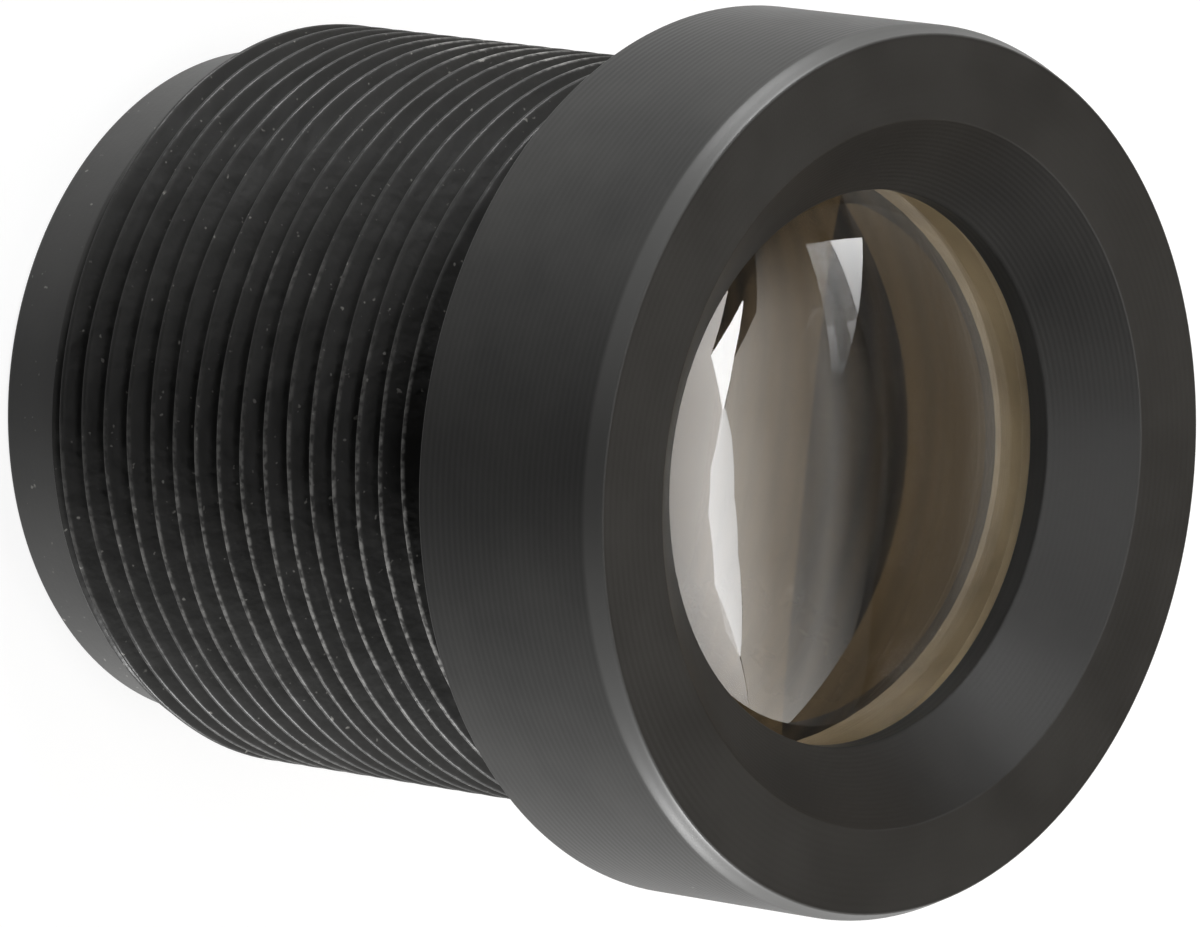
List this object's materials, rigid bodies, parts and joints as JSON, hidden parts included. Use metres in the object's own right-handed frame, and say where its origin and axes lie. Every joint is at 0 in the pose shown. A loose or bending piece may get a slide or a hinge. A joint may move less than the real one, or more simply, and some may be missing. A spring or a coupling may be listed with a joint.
{
  "type": "board camera lens",
  "caption": "Small fixed-focus lens in a black turned barrel: fine outside thread, wider round head with a conical recess, and a large convex front glass.",
  "frame": {"origin": "centre of the barrel's rear end face, on the optical axis", "axes": "+Z along the optical axis towards the scene that the lens looks at"},
  "size_m": [0.014, 0.014, 0.0144],
  "materials": {
    "black_anodised": "black anodised, fine turned, satin",
    "inner_black": "black anodised, matte, turned",
    "blackened_shim": "matte black",
    "coated_glass": "polished, with a thin coating"
  },
  "bodies": {
    "root": {"barrel": "black_anodised", "front_element": "coated_glass", "front_spacer_ring": "inner_black", "second_element": "coated_glass", "stop_spacer_ring": "inner_black", "aperture_disc": "blackened_shim", "rear_cell": "inner_black", "third_element": "coated_glass", "cell_spacer_ring": "inner_black", "rear_element": "coated_glass", "cell_retaining_ring": "inner_black", "clamp_ring": "inner_black"}
  },
  "joints": []
}
